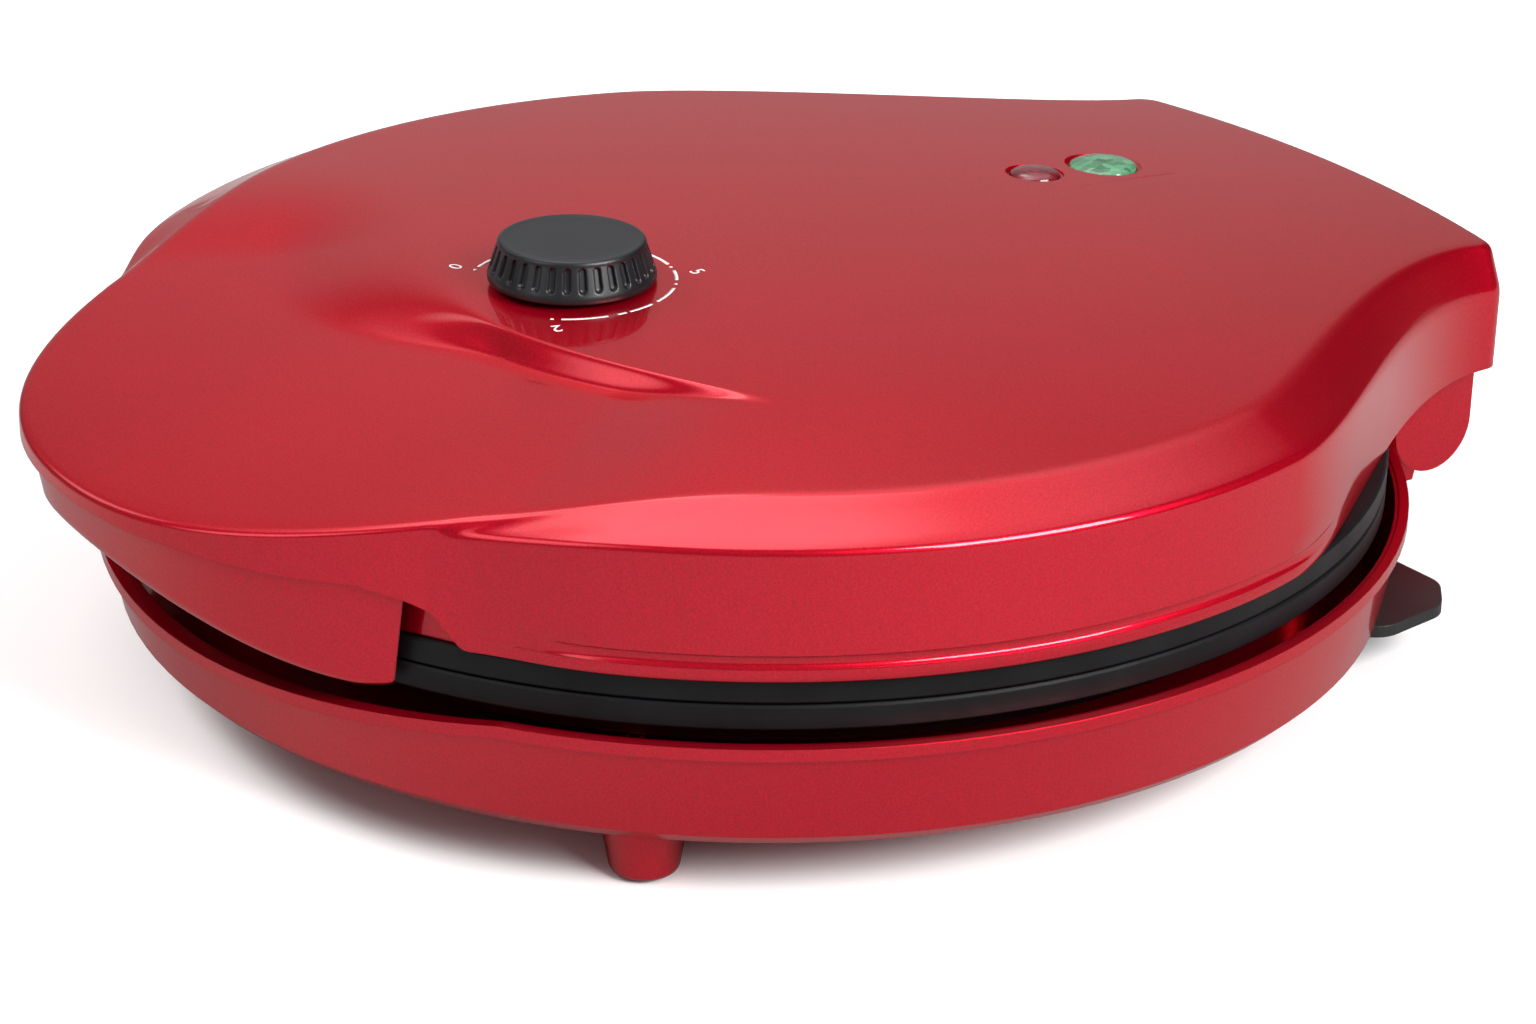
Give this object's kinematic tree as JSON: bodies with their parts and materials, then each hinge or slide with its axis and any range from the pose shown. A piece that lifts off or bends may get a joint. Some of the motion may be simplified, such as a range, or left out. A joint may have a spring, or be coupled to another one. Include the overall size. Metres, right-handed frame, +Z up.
{
  "type": "electric pizza maker",
  "caption": "Round clamshell electric pizza maker with hinged domed lid, drooping handle, thermostat knob, pilot lamps, two heated dished plates and a footed base.",
  "frame": {"origin": "under the cooking plates' centre, on the table", "axes": "+X to the right across, -Y to the handle, +Y to the hinge, +Z up"},
  "size_m": [0.3218, 0.366, 0.1073],
  "materials": {
    "red_housing": "heat-resistant moulding with a metallic red lacquer and clear coat",
    "non_stick_plate": "die-cast with a black non-stick coating",
    "black_knob": "moulded, satin",
    "black_moulding": "moulded, fine texture",
    "black_rubber": "moulded, matte",
    "ivory_moulding": "moulded, heat resistant",
    "lamp_glass": "clear glass bulb",
    "red_lens": "translucent, polished",
    "green_lens": "translucent, polished",
    "zinc_steel": "zinc plated",
    "aluminised_sheet": "aluminised pressed sheet",
    "heater_sheath": "oxidised tubular sheath"
  },
  "bodies": {
    "base": {"base_shell": "red_housing", "foot_pads": "black_rubber", "cord_wrap_tabs": "black_moulding", "wrap_screws": "zinc_steel", "cord_gland": "black_moulding", "terminal_block": "ivory_moulding", "lower_heat_shield": "aluminised_sheet", "lower_element": "heater_sheath", "lower_plate": "non_stick_plate", "lower_plate_screws": "zinc_steel", "hinge_pins": "zinc_steel"},
    "lid": {"lid_frame": "red_housing", "upper_plate": "non_stick_plate", "upper_plate_screws": "zinc_steel", "upper_element": "heater_sheath", "upper_heat_shield": "aluminised_sheet", "thermal_fuse": "ivory_moulding", "thermostat": "ivory_moulding", "thermostat_bracket": "aluminised_sheet", "lamp_holder": "ivory_moulding", "neon_lamps": "lamp_glass", "red_lens": "red_lens", "green_lens": "green_lens", "lid_cover": "red_housing", "frame_screws": "zinc_steel", "handle_cover": "red_housing", "handle_screws": "zinc_steel"},
    "dial": {"control_shaft": "zinc_steel", "knob": "black_knob"}
  },
  "joints": [
    {"name": "lid_hinge", "type": "hinge", "parent": "base", "child": "lid", "pos_m": [0, 0.1645, 0.0385], "axis": [-1, 0, 0], "range_deg": [0, 100]},
    {"name": "dial_turn", "type": "hinge", "parent": "lid", "child": "dial", "pos_m": [0, -0.0514, 0.1], "axis": [0, 0, -1], "range_deg": [0, 270]}
  ]
}
